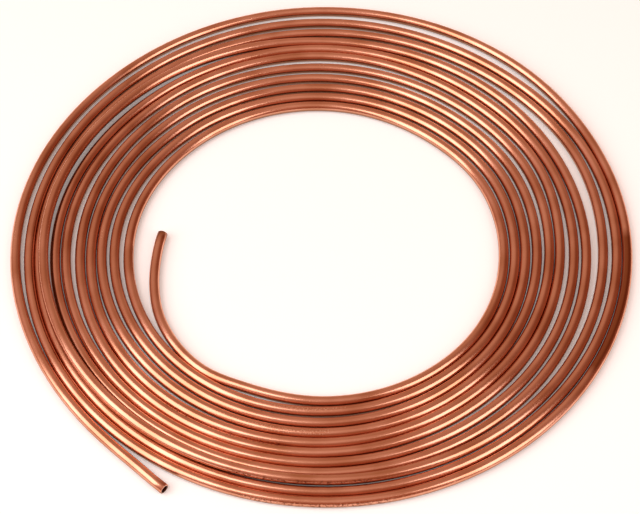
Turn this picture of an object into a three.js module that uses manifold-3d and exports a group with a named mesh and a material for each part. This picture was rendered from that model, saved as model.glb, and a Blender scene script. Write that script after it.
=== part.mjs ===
// A coil of soft copper tube: one length wound flat in a single layer, lying on its face.
// Millimetres, Z up. The origin is on the floor under the middle of the outermost turn.

import * as THREE from 'three';
import { mergeVertices } from 'three/addons/utils/BufferGeometryUtils.js';
import Module from 'manifold-3d';

// The tube's section.
const tubeDiameter = 6;
const wallThickness = 1;

// The winding. Turns are counted from the outside in. Each gap is at its widest towards one
// bearing, and the turns all but touch on the other side, so the eye sits off centre.
const outerTurnRadius = 177.5;
const gapWhereClosest = 0.2;
const gaps = [
  { widest: 6, towards: 92 },
  { widest: 1.9, towards: 60 },
  { widest: 3, towards: 15 },
  { widest: 1, towards: 30 },
  { widest: 1.2, towards: -5 },
  { widest: 2.5, towards: 109 },
  { widest: 2.5, towards: 77 },
  { widest: 1.6, towards: 101 },
  { widest: 1.2, towards: 137 },
  { widest: 1.4, towards: 145 },
];

// Turns that lie closer together than this are joined by a web.
const widestBridgedGap = 0.8;

// The stretch that climbs onto its neighbours: its turn, its highest rise and where it runs.
const risingTurn = 4;
const riseHeight = 5.7;
const riseLean = 4.2;
const riseStartAngle = 320;
const riseTopAngle = 195;
const riseEndAngle = 90;

// The outer loose end leaves the outermost turn along its tangent.
const outerEndAngle = 226;
const outerEndLength = 57;

// The inner loose end curls into the eye and then runs straight.
const innerEndAngle = 235;
const innerEndBendRadius = 77;
const innerEndHeading = 86;
const innerEndStraight = 24;

// How finely round shapes are faceted.
const coilSegments = 48;
const turnSides = 8;
const looseEndSides = 16;
const riseSteps = 34;
const bendSteps = 12;
const cutterOvershoot = 2;

const tubeRadius = tubeDiameter / 2;
const boreDiameter = tubeDiameter - 2 * wallThickness;
const turnCount = gaps.length + 1;
const innermostTurn = turnCount;

const copper = new THREE.MeshStandardMaterial({ color: 0xc07a54, roughness: 0.28, metalness: 1 });

const wasm = await Module();
wasm.setup();

function radians(degrees) {
  return THREE.MathUtils.degToRad(degrees);
}

// Each turn as a circle. A gap makes the next turn smaller by its mean width, and slides
// that turn away from where the gap is widest.
function turnCircles() {
  const circles = [{ x: 0, y: 0, radius: outerTurnRadius }];
  for (const gap of gaps) {
    const outside = circles[circles.length - 1];
    const slide = (gap.widest - gapWhereClosest) / 2;
    circles.push({
      x: outside.x - slide * Math.cos(radians(gap.towards)),
      y: outside.y - slide * Math.sin(radians(gap.towards)),
      radius: outside.radius - tubeDiameter - (gap.widest + gapWhereClosest) / 2,
    });
  }
  return circles;
}

const circles = turnCircles();

function pointOnTurn(turn, degrees, outward, height) {
  const circle = circles[turn - 1];
  const reach = circle.radius + outward;
  const angle = radians(degrees);
  return new THREE.Vector3(circle.x + reach * Math.cos(angle), circle.y + reach * Math.sin(angle), height);
}

function gapWidth(gap, degrees) {
  const share = (1 + Math.cos(radians(degrees - gap.towards))) / 2;
  return gapWhereClosest + (gap.widest - gapWhereClosest) * share;
}

// A regular section whose flats lie a diameter apart, with one flat facing up.
function roundSection(diameter, sides) {
  const cornerRadius = diameter / 2 / Math.cos(Math.PI / sides);
  const corners = [];
  for (let side = 0; side < sides; side += 1) {
    const angle = (2 * Math.PI * (side + 0.5)) / sides;
    corners.push(new THREE.Vector2(cornerRadius * Math.cos(angle), cornerRadius * Math.sin(angle)));
  }
  return new THREE.Shape(corners);
}

function sweep(path, diameter, sides, steps) {
  return new THREE.ExtrudeGeometry(roundSection(diameter, sides), { steps, extrudePath: path });
}

function toSolid(geometry) {
  const bare = geometry.clone();
  bare.deleteAttribute('normal');
  bare.deleteAttribute('uv');
  const merged = mergeVertices(bare);
  const vertProperties = Float32Array.from(merged.attributes.position.array);
  const triVerts = Uint32Array.from(merged.index.array);
  return new wasm.Manifold(new wasm.Mesh({ numProp: 3, vertProperties, triVerts }));
}

function toGeometry(solid) {
  const mesh = solid.getMesh();
  const geometry = new THREE.BufferGeometry();
  geometry.setAttribute('position', new THREE.BufferAttribute(mesh.vertProperties, 3));
  geometry.setIndex(new THREE.BufferAttribute(mesh.triVerts, 1));
  return geometry;
}

// The wound turns in one closed skin: an eight-sided ring for each turn, and a web at mid
// height wherever two turns lie close.
function windingGeometry() {
  const stepAngle = 360 / coilSegments;
  const halfFlat = tubeRadius * Math.tan(Math.PI / turnSides);
  const cornerRadius = Math.hypot(tubeRadius, halfFlat);
  const outerTop = 0;
  const innerTop = turnSides / 2 - 1;
  const innerBottom = turnSides / 2;
  const outerBottom = turnSides - 1;
  const positions = [];
  const triangles = [];
  for (let turn = 1; turn <= turnCount; turn += 1) {
    for (let step = 0; step < coilSegments; step += 1) {
      for (let side = 0; side < turnSides; side += 1) {
        const angle = (2 * Math.PI * (side + 0.5)) / turnSides;
        const outward = cornerRadius * Math.cos(angle);
        const height = tubeRadius + cornerRadius * Math.sin(angle);
        positions.push(...pointOnTurn(turn, step * stepAngle, outward, height).toArray());
      }
    }
  }

  function corner(turn, step, side) {
    const stepRound = (step + coilSegments) % coilSegments;
    return ((turn - 1) * coilSegments + stepRound) * turnSides + (side % turnSides);
  }

  function face(a, b, c, d) {
    triangles.push(a, b, c, a, c, d);
  }

  function bridged(turn, step) {
    const gap = gaps[turn - 1];
    return gap !== undefined && gapWidth(gap, (step + 0.5) * stepAngle) < widestBridgedGap;
  }

  for (let turn = 1; turn <= turnCount; turn += 1) {
    for (let step = 0; step < coilSegments; step += 1) {
      const next = step + 1;
      for (let side = 0; side < turnSides; side += 1) {
        const behindInnerWeb = side === innerTop && bridged(turn, step);
        const behindOuterWeb = side === outerBottom && bridged(turn - 1, step);
        if (!behindInnerWeb && !behindOuterWeb) {
          face(corner(turn, step, side + 1), corner(turn, step, side),
            corner(turn, next, side), corner(turn, next, side + 1));
        }
      }
      const webEnd = [
        corner(turn + 1, next, outerBottom),
        corner(turn + 1, next, outerTop),
        corner(turn, next, innerTop),
        corner(turn, next, innerBottom),
      ];
      if (bridged(turn, step)) {
        face(corner(turn + 1, step, outerTop), corner(turn, step, innerTop), webEnd[2], webEnd[1]);
        face(corner(turn, step, innerBottom), corner(turn + 1, step, outerBottom), webEnd[0], webEnd[3]);
      }
      if (bridged(turn, step) && !bridged(turn, next)) {
        face(...webEnd);
      }
      if (!bridged(turn, step) && bridged(turn, next)) {
        face(...webEnd.reverse());
      }
    }
  }
  const geometry = new THREE.BufferGeometry();
  geometry.setAttribute('position', new THREE.Float32BufferAttribute(positions, 3));
  geometry.setIndex(triangles);
  return geometry;
}

// From 0 at either foot of the rise to 1 at its top.
function riseShare(degrees) {
  const foot = degrees > riseTopAngle ? riseStartAngle : riseEndAngle;
  const share = (foot - degrees) / (foot - riseTopAngle);
  return (1 - Math.cos(Math.PI * share)) / 2;
}

function risingStretch() {
  const points = [];
  for (let step = 0; step <= riseSteps; step += 1) {
    const degrees = riseStartAngle + ((riseEndAngle - riseStartAngle) * step) / riseSteps;
    const share = riseShare(degrees);
    points.push(pointOnTurn(risingTurn, degrees, riseLean * share, tubeRadius + riseHeight * share));
  }
  return sweep(new THREE.CatmullRomCurve3(points), tubeDiameter, turnSides, riseSteps);
}

function straightRun(start, headingDegrees, length) {
  const heading = new THREE.Vector3(Math.cos(radians(headingDegrees)), Math.sin(radians(headingDegrees)), 0);
  return new THREE.LineCurve3(start, start.clone().addScaledVector(heading, length));
}

function outerEnd(extra) {
  const start = pointOnTurn(1, outerEndAngle, 0, tubeRadius);
  return straightRun(start, outerEndAngle + 90, outerEndLength + extra);
}

// The inner end heads the other way round: it turns from the tangent of the innermost turn
// to its last heading on one bend.
function innerEnd(extra) {
  const start = pointOnTurn(innermostTurn, innerEndAngle, 0, tubeRadius);
  const firstHeading = innerEndAngle - 90;
  const bendCentre = new THREE.Vector3(
    start.x - innerEndBendRadius * Math.cos(radians(innerEndAngle)),
    start.y - innerEndBendRadius * Math.sin(radians(innerEndAngle)),
    tubeRadius,
  );
  const points = [];
  for (let step = 0; step <= bendSteps; step += 1) {
    const side = firstHeading + ((innerEndHeading - firstHeading) * step) / bendSteps + 90;
    points.push(new THREE.Vector3(
      bendCentre.x + innerEndBendRadius * Math.cos(radians(side)),
      bendCentre.y + innerEndBendRadius * Math.sin(radians(side)),
      tubeRadius,
    ));
  }
  const path = new THREE.CurvePath();
  for (let step = 0; step < bendSteps; step += 1) {
    path.add(new THREE.LineCurve3(points[step], points[step + 1]));
  }
  path.add(straightRun(points[bendSteps], innerEndHeading, innerEndStraight + extra));
  return path;
}

function copperTube() {
  const winding = toSolid(windingGeometry());
  const rise = toSolid(risingStretch());
  const outer = toSolid(sweep(outerEnd(0), tubeDiameter, looseEndSides, 1));
  const inner = toSolid(sweep(innerEnd(0), tubeDiameter, looseEndSides, bendSteps));
  const outerBore = toSolid(sweep(outerEnd(cutterOvershoot), boreDiameter, looseEndSides, 1));
  const innerBore = toSolid(sweep(innerEnd(cutterOvershoot), boreDiameter, looseEndSides, bendSteps));
  const whole = winding.add(rise).add(outer).add(inner);
  const solid = whole.subtract(outerBore).subtract(innerBore);
  const mesh = new THREE.Mesh(toGeometry(solid), copper);
  mesh.name = 'copper_tube';
  return mesh;
}

const part = new THREE.Group();
part.add(copperTube());

export default part;
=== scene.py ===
import math

import bpy
import numpy as np
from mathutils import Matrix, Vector


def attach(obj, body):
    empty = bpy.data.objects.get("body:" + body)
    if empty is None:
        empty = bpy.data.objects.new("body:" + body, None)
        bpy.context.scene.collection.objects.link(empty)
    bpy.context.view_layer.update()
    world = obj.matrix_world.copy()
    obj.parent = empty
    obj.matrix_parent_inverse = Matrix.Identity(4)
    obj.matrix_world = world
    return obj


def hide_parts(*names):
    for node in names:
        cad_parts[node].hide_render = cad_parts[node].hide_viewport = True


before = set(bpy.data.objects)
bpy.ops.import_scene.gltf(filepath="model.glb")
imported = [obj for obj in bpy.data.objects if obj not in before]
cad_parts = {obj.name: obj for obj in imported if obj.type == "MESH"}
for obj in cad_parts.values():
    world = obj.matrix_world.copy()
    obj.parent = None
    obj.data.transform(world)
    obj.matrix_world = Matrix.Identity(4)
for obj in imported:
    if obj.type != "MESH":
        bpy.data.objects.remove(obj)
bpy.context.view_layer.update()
mm = 0.001

# the sockets of a Mix node for colours, and of one for numbers: below, above and result
mixBelow, mixAbove, mixResult = 6, 7, 2
numberBelow, numberAbove, numberResult = 2, 3, 0


def hexToLinear(code):
    # an sRGB colour such as "c07a54" as linear red, green, blue and alpha
    channels = [int(code[i:i + 2], 16) / 255 for i in (0, 2, 4)]
    linear = [c / 12.92 if c <= 0.04045 else ((c + 0.055) / 1.055) ** 2.4 for c in channels]
    return (*linear, 1.0)


def addNode(tree, kind, settings=None, **links):
    # settings are properties or socket values; links name an input and the socket that feeds it
    node = tree.nodes.new(kind)
    for name, value in (settings or {}).items():
        if name in node.inputs:
            node.inputs[name].default_value = value
        else:
            setattr(node, name, value)
    for name, source in links.items():
        tree.links.new(source, node.inputs[name])
    return node


# the winding

winding = {
    "tubeRadius": 3.0 * mm,
    "wall": 1.0 * mm,
    "endRounding": 0.12 * mm,   # the cut edges are barely broken
    "sides": 24,
    "stepsPerTurn": 144,
    "firstBearing": 225.0,      # where the first turn is counted from, seen from above
    # the turns at each station, going clockwise: how far round it is, the outermost turn's
    # distance from the coil's axis, and the clear gap from each turn to the next one in,
    # which is below zero where one of the two rides up on the other
    "stations": [
        [0, 178.6, [0.3, 0.0, -2.5, -0.2, 0.0, 0.0, 0.0, 1.2, 0.7, 0.6]],
        [45, 176.6, [2.1, 0.0, -3.2, 0.2, 0.3, 2.3, 0.4, 0.1, 1.4, 2.3]],
        [90, 173.8, [2.7, 1.0, -0.9, 1.2, 0.5, 1.6, 2.0, 2.0, 1.1, 1.5]],
        [135, 175.0, [4.1, 2.6, 1.4, 0.1, 0.0, 3.5, 2.6, 1.9, 1.5, 0.9]],
        [180, 176.3, [4.4, 1.0, 3.2, 2.0, 0.7, 1.5, 2.6, 1.5, 1.1, 1.4]],
        [202, 175.4, [0.4, 0.9, 5.7, 0.4, 0.4, 1.4, 2.2, 1.3, 0.8, 1.1]],
        [225, 175.8, [0.1, 1.8, 4.0, 1.0, 1.8, 0.3, 1.3, 0.8, 0.2, 0.5]],
        [270, 175.4, [0.3, 0.5, 1.2, 0.9, 1.4, 0.0, 0.0, 0.0, 0.1, 0.0]],
        [315, 174.2, [0.0, -0.3, -0.6, 0.1, 0.1, 0.0, 0.0, 0.4, 0.9, 0.6]],
    ],
    # both loose ends, as [degrees along the winding, distance from the axis]
    "outerEnd": [[-18.5, 186.1], [-12.3, 181.8], [-6.0, 179.6]],
    "innerEnd": [[3937, 112.3], [3950, 113.8], [3965, 110.8], [3973, 107.8], [3983, 102.6],
                 [3995, 96.5], [4005, 92.4]],
    # the stretch that climbs onto its neighbours, as [degrees along the winding, rise], with
    # a far point on each side that keeps the rest level
    "rise": [[-1000, 0.0], [985, 0.0], [1035, 2.5], [1080, 4.9], [1125, 5.4], [1170, 3.2],
             [1215, 0.0], [9000, 0.0]],
    # wear, as [from, to along the winding, the middle of it round the section, its half width]
    # in degrees; round the section, 0 faces the eye of the coil, 90 is up and 180 faces out
    "pits": [[304, 330, 168, 30], [2124, 2150, 40, 35], [1026, 1052, 165, 40], [700, 722, 30, 35]],
    "scuffs": [[2834, 2862, 110, 35], [3550, 3570, 90, 20], [288, 330, 160, 35],
               [2923, 2926, 100, 20], [44, 46, 110, 20], [1507, 1509, 90, 20],
               [989, 991, 100, 20], [2294, 2296, 90, 20]],
    "stains": [[226, 258, 80, 50], [4003.5, 4008, 90, 180]],
    "wearFade": 1.5,
}


def smoothThrough(points, at):
    # a cubic through the points, with each slope taken from the two points beside it
    knots, values = np.array(points, float).T
    slopes = np.gradient(values, knots)
    cell = np.clip(np.searchsorted(knots, at) - 1, 0, len(knots) - 2)
    width = knots[cell + 1] - knots[cell]
    s = (at - knots[cell]) / width
    level = (2 * s ** 3 - 3 * s ** 2 + 1) * values[cell] + (3 * s ** 2 - 2 * s ** 3) * values[cell + 1]
    slope = (s ** 3 - 2 * s ** 2 + s) * slopes[cell] + (s ** 3 - s ** 2) * slopes[cell + 1]
    return level + slope * width


def axisDistances():
    # the whole tube, as [degrees along the winding, distance from the coil's axis]
    turns = len(winding["stations"][0][2]) + 1
    diameter = 2 * winding["tubeRadius"] / mm
    distances = list(winding["outerEnd"])
    for turn in range(turns):
        for around, outerReach, gaps in winding["stations"]:
            travelled = 360 * turn + around
            if travelled < winding["innerEnd"][0][0]:
                distances.append([travelled, outerReach - sum(gap + diameter for gap in gaps[:turn])])
    return distances + winding["innerEnd"]


def windingPath():
    # each point of the tube's axis, and how many degrees along the winding it lies
    distances = axisDistances()
    first, last = distances[0][0], distances[-1][0]
    count = int((last - first) / 360 * winding["stepsPerTurn"])
    travelled = np.linspace(first, last, count + 1)
    radius = smoothThrough(distances, travelled) * mm
    rise = smoothThrough(winding["rise"], travelled) * mm
    height = winding["tubeRadius"] + np.clip(rise, 0, None)
    bearing = np.radians(winding["firstBearing"] - travelled)
    return np.stack([radius * np.cos(bearing), radius * np.sin(bearing), height], axis=1), travelled


def wear(kind, travelled, side):
    # how strongly this kind of wear shows at each point, from 0 to 1
    share = np.zeros(len(side))
    for first, last, middle, halfWidth in winding[kind]:
        lengthwise = 1 + np.minimum(travelled - first, last - travelled) / winding["wearFade"]
        aside = np.abs((side - middle + 180) % 360 - 180)
        share = np.maximum(share, np.clip(lengthwise, 0, 1) * np.clip(2 - 2 * aside / halfWidth, 0, 1))
    return share


def tubeFrame(path):
    # at each point of the path: the way along it, the way to the eye of the coil, the way up,
    # and the length of tube so far
    tangents = np.gradient(path, axis=0)
    tangents /= np.linalg.norm(tangents, axis=1, keepdims=True)
    sideways = np.cross(tangents, (0, 0, 1))
    sideways /= np.linalg.norm(sideways, axis=1, keepdims=True)
    upward = np.cross(sideways, tangents)
    steps = np.linalg.norm(np.diff(path, axis=0), axis=1)
    return tangents, sideways, upward, np.concatenate([[0], np.cumsum(steps)])


def tubeRings(last):
    # the rings of one closed skin, as (point of the path, radius, shift along the tube): the
    # outer wall, a cut end with its broken edges, the bore, and the other cut end
    outside = winding["tubeRadius"]
    inside = outside - winding["wall"]
    edge = winding["endRounding"]
    cutEnd = [(outside, edge), (outside - edge, 0.0), (inside + edge, 0.0), (inside, edge)]
    rings = [(index, outside, 0.0) for index in range(1, last)]
    rings += [(last, radius, -setBack) for radius, setBack in cutEnd]
    rings += [(index, inside, 0.0) for index in range(last - 1, 0, -1)]
    rings += [(0, radius, setBack) for radius, setBack in reversed(cutEnd)]
    return rings


def sweepTube(name, path, travelled):
    tangents, sideways, upward, along = tubeFrame(path)
    rings = tubeRings(len(path) - 1)
    sides = winding["sides"]
    angles = 2 * math.pi * np.arange(sides) / sides
    places, straight, worn = [], [], []
    for index, radius, shift in rings:
        inward, up = radius * np.cos(angles), radius * np.sin(angles)
        middle = path[index] + tangents[index] * shift
        places.append(middle + np.outer(inward, sideways[index]) + np.outer(up, upward[index]))
        straight.append(np.stack([np.full(sides, along[index] + shift), inward, up], axis=1))
        worn.append(np.stack([wear(kind, travelled[index], np.degrees(angles))
                              for kind in ("pits", "scuffs", "stains")], axis=1))
    here = np.arange(len(rings) * sides).reshape(len(rings), sides)
    after = np.roll(here, -1, axis=0)
    faces = np.stack([here, after, np.roll(after, -1, axis=1), np.roll(here, -1, axis=1)], axis=2)
    mesh = bpy.data.meshes.new(name)
    mesh.from_pydata(np.concatenate(places).tolist(), [], faces.reshape(-1, 4).tolist())
    mesh.shade_smooth()
    # where each point lay on the tube before it was coiled, for marks that run along it, and
    # how pitted, scuffed and stained it is
    for attribute, vectors in (("asDrawn", straight), ("worn", worn)):
        layer = mesh.attributes.new(attribute, "FLOAT_VECTOR", "POINT")
        layer.data.foreach_set("vector", np.concatenate(vectors).ravel())
    mesh.update()
    piece = bpy.data.objects.new(name, mesh)
    bpy.context.scene.collection.objects.link(piece)
    return piece


# the copper: soft copper tube, drawn through a die and annealed, with fine lengthwise draw
# lines, a satin gloss, and a thin uneven tarnish that turns the pink metal browner; low on
# the sides, where the turns lie against each other, it carries painted shade, and it is darkest in the
# bore

finish = {
    "clean": "e4a78c",
    "tarnished": "cc8c6c",
    "tarnishPatchMm": 30,
    "tarnishFade": (0.35, 0.70),
    # painted shade: a darker brown for the lower sides of each turn, where the turns lie against each
    # other
    "paintedLowShade": "90664a",
    "paintedLowShadeMm": (1.4, -0.6),
    "bore": "3c1c12",
    "boreMm": (2.4, 2.05),
    "stain": "9a5a3a",
    "pit": "6e3018",
    "pitMm": 0.9,
    "pitFade": (0.52, 0.60),
    "scuff": "e8b090",
    "scuffMm": 0.7,
    "scuffFade": (0.50, 0.70),
    "scuffRoughness": 0.38,
    "roughness": (0.17, 0.23),
    "drawLineMm": 0.8,
    "drawLineStretch": 100,
    "drawLineDepth": 0.02 * mm,
    "drawLineStrength": 0.03,
}


def fade(tree, source, start, end):
    # 0 where the source has its start value and 1 where it has its end value
    limits = {"From Min": start, "From Max": end, "interpolation_type": "SMOOTHSTEP"}
    return addNode(tree, "ShaderNodeMapRange", limits, Value=source).outputs["Result"]


def times(tree, first, second):
    product = addNode(tree, "ShaderNodeMath", {"operation": "MULTIPLY"})
    tree.links.new(first, product.inputs[0])
    tree.links.new(second, product.inputs[1])
    return product.outputs[0]


def grain(tree, place, sizeMm, detail=2.0):
    settings = {"Scale": 1000 / sizeMm, "Detail": detail}
    return addNode(tree, "ShaderNodeTexNoise", settings, Vector=place).outputs["Fac"]


def copperLayers(tree, asDrawn):
    # what lies over the clean copper, each with the share of it that shows
    place = addNode(tree, "ShaderNodeSeparateXYZ", Vector=asDrawn)
    section = addNode(tree, "ShaderNodeCombineXYZ", Y=place.outputs["Y"], Z=place.outputs["Z"])
    section = section.outputs["Vector"]
    fromAxis = addNode(tree, "ShaderNodeVectorMath", {"operation": "LENGTH"}, Vector=section)
    worn = addNode(tree, "ShaderNodeAttribute", {"attribute_name": "worn"})
    marks = addNode(tree, "ShaderNodeSeparateXYZ", Vector=worn.outputs["Vector"])
    patches = grain(tree, asDrawn, finish["tarnishPatchMm"])
    scuffs = fade(tree, grain(tree, asDrawn, finish["scuffMm"]), *finish["scuffFade"])
    pits = fade(tree, grain(tree, asDrawn, finish["pitMm"]), *finish["pitFade"])
    return {
        "tarnished": fade(tree, patches, *finish["tarnishFade"]),
        # painted shade on the lower part of the section: none from 1.4 mm above the tube's axis, full
        # from 0.6 mm below it
        "paintedLowShade": fade(tree, place.outputs["Z"], *(edge * mm for edge in finish["paintedLowShadeMm"])),
        "stain": marks.outputs["Z"],
        "scuff": times(tree, marks.outputs["Y"], scuffs),
        "pit": times(tree, marks.outputs["X"], pits),
        "bore": fade(tree, fromAxis.outputs["Value"], *(edge * mm for edge in finish["boreMm"])),
    }


def drawLines(tree, asDrawn):
    stretched = addNode(tree, "ShaderNodeVectorMath", {"operation": "MULTIPLY"}, Vector=asDrawn)
    stretched.inputs[1].default_value = (1 / finish["drawLineStretch"], 1, 1)
    return grain(tree, stretched.outputs[0], finish["drawLineMm"], detail=1.0)


def brightDrawnCopper():
    material = bpy.data.materials.new("brightDrawnCopper")
    material.use_nodes = True
    tree = material.node_tree
    shader = tree.nodes["Principled BSDF"]
    shader.inputs["Metallic"].default_value = 1.0
    asDrawn = addNode(tree, "ShaderNodeAttribute", {"attribute_name": "asDrawn"}).outputs["Vector"]
    layers = copperLayers(tree, asDrawn)
    below = None
    for name, share in layers.items():
        layer = addNode(tree, "ShaderNodeMix", {"data_type": "RGBA"}, Factor=share)
        layer.inputs[mixBelow].default_value = hexToLinear(finish["clean"])
        layer.inputs[mixAbove].default_value = hexToLinear(finish[name])
        if below:
            tree.links.new(below, layer.inputs[mixBelow])
        below = layer.outputs[mixResult]
    tree.links.new(below, shader.inputs["Base Color"])
    lines = drawLines(tree, asDrawn)
    smoothest, roughest = finish["roughness"]
    gloss = addNode(tree, "ShaderNodeMapRange", {"To Min": smoothest, "To Max": roughest}, Value=lines)
    roughness = addNode(tree, "ShaderNodeMix", {"data_type": "FLOAT"}, Factor=layers["scuff"])
    roughness.inputs[numberAbove].default_value = finish["scuffRoughness"]
    tree.links.new(gloss.outputs["Result"], roughness.inputs[numberBelow])
    tree.links.new(roughness.outputs[numberResult], shader.inputs["Roughness"])
    depth = {"Strength": finish["drawLineStrength"], "Distance": finish["drawLineDepth"]}
    relief = addNode(tree, "ShaderNodeBump", depth, Height=lines)
    tree.links.new(relief.outputs["Normal"], shader.inputs["Normal"])
    return material


copperTube = sweepTube("copperTube", *windingPath())
copperTube.data.materials.append(brightDrawnCopper())
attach(copperTube, "root")
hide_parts("copper_tube")
print("copper tube wound", len(copperTube.data.polygons), "faces")


# the studio

studio = {
    "floorSize": 8.0,
    "floorColour": "fdfdfd",
    "floorRoughness": 0.9,
    "floorGlow": 0.20,
    "cameraDistance": 1038.2 * mm,
    "cameraElevation": 54.45,
    "lookAt": (-1.3 * mm, -16.6 * mm, 3.0 * mm),
    "lens": 101.8,
    "sensorWidth": 36.0,
    # the two soft boxes: the middle of each as seen from the coil, and how bright it looks
    "boxDistance": 1.5,
    "softBoxes": [
        {"name": "leftBox", "bearing": -157, "elevation": 44,
         "width": 1.25, "height": 1.65, "radiance": 2.3},
        {"name": "rightBox", "bearing": -35, "elevation": 37,
         "width": 0.72, "height": 1.25, "radiance": 2.4},
    ],
    # the tent round the coil: its even warm light, and where it is lighter or darker than
    # that, with the angles from the middle of each such place where it starts and stops fading
    "tent": (0.42, 0.17, 0.10),
    "tentPatches": [
        {"bearing": 0, "elevation": 90, "full": 5, "none": 50, "adds": (0.16, 0.17, 0.15)},
        {"bearing": -160, "elevation": 50, "full": 25, "none": 60, "adds": (0.25, 0.25, 0.25)},
        {"bearing": 20, "elevation": 38, "full": 12, "none": 46, "adds": (-0.13, -0.07, -0.05)},
        {"bearing": 98, "elevation": 0, "full": 42, "none": 64, "adds": (0.17, 0.20, 0.17)},
        {"bearing": 70, "elevation": -5, "full": 6, "none": 22, "adds": (0.16, 0.17, 0.12)},
    ],
}


def towards(bearing, elevation):
    bearing, elevation = math.radians(bearing), math.radians(elevation)
    return Vector((math.cos(bearing) * math.cos(elevation), math.sin(bearing) * math.cos(elevation),
                   math.sin(elevation)))


def pointAt(thing, target):
    thing.rotation_euler = (Vector(target) - thing.location).to_track_quat("-Z", "Y").to_euler()


def softBox(box):
    data = bpy.data.lights.new(box["name"], "AREA")
    data.shape = "RECTANGLE"
    data.size, data.size_y = box["width"], box["height"]
    data.energy = box["radiance"] * math.pi * box["width"] * box["height"]
    light = bpy.data.objects.new(box["name"], data)
    light.location = towards(box["bearing"], box["elevation"]) * studio["boxDistance"]
    pointAt(light, (0, 0, 0))
    bpy.context.scene.collection.objects.link(light)


def paleFloor():
    half = studio["floorSize"] / 2
    corners = [(-half, -half, 0), (half, -half, 0), (half, half, 0), (-half, half, 0)]
    mesh = bpy.data.meshes.new("paleFloor")
    mesh.from_pydata(corners, [], [(0, 1, 2, 3)])
    floor = bpy.data.objects.new("paleFloor", mesh)
    bpy.context.scene.collection.objects.link(floor)
    # opal acrylic, lit from below
    material = bpy.data.materials.new("opalAcrylic")
    material.use_nodes = True
    shader = material.node_tree.nodes["Principled BSDF"]
    shader.inputs["Base Color"].default_value = hexToLinear(studio["floorColour"])
    shader.inputs["Roughness"].default_value = studio["floorRoughness"]
    shader.inputs["Emission Color"].default_value = (1, 1, 1, 1)
    shader.inputs["Emission Strength"].default_value = studio["floorGlow"]
    mesh.materials.append(material)


def lightTent():
    # the light from each direction: the tent's own, with what every patch adds to it
    world = bpy.data.worlds.new("lightTent")
    bpy.context.scene.world = world
    world.use_nodes = True
    tree = world.node_tree
    direction = addNode(tree, "ShaderNodeTexCoord").outputs["Generated"]
    total = None
    for patch in studio["tentPatches"]:
        facing = addNode(tree, "ShaderNodeVectorMath", {"operation": "DOT_PRODUCT"}, Vector=direction)
        facing.inputs[1].default_value = towards(patch["bearing"], patch["elevation"])
        edges = (math.cos(math.radians(patch[edge])) for edge in ("none", "full"))
        share = fade(tree, facing.outputs["Value"], *edges)
        add = addNode(tree, "ShaderNodeVectorMath", {"operation": "MULTIPLY_ADD"}, Vector=share)
        add.inputs[1].default_value = patch["adds"]
        add.inputs[2].default_value = studio["tent"]
        if total:
            tree.links.new(total, add.inputs[2])
        total = add.outputs[0]
    tree.links.new(total, tree.nodes["Background"].inputs["Color"])


def camera():
    data = bpy.data.cameras.new("camera")
    data.lens = studio["lens"]
    data.sensor_width = studio["sensorWidth"]
    eye = bpy.data.objects.new("camera", data)
    tilt = math.radians(studio["cameraElevation"])
    target = Vector(studio["lookAt"])
    eye.location = target + Vector((0, -math.cos(tilt), math.sin(tilt))) * studio["cameraDistance"]
    pointAt(eye, target)
    bpy.context.scene.collection.objects.link(eye)
    bpy.context.scene.camera = eye


paleFloor()
for box in studio["softBoxes"]:
    softBox(box)
lightTent()
camera()
bpy.context.scene.view_settings.view_transform = "Standard"
print("studio set")
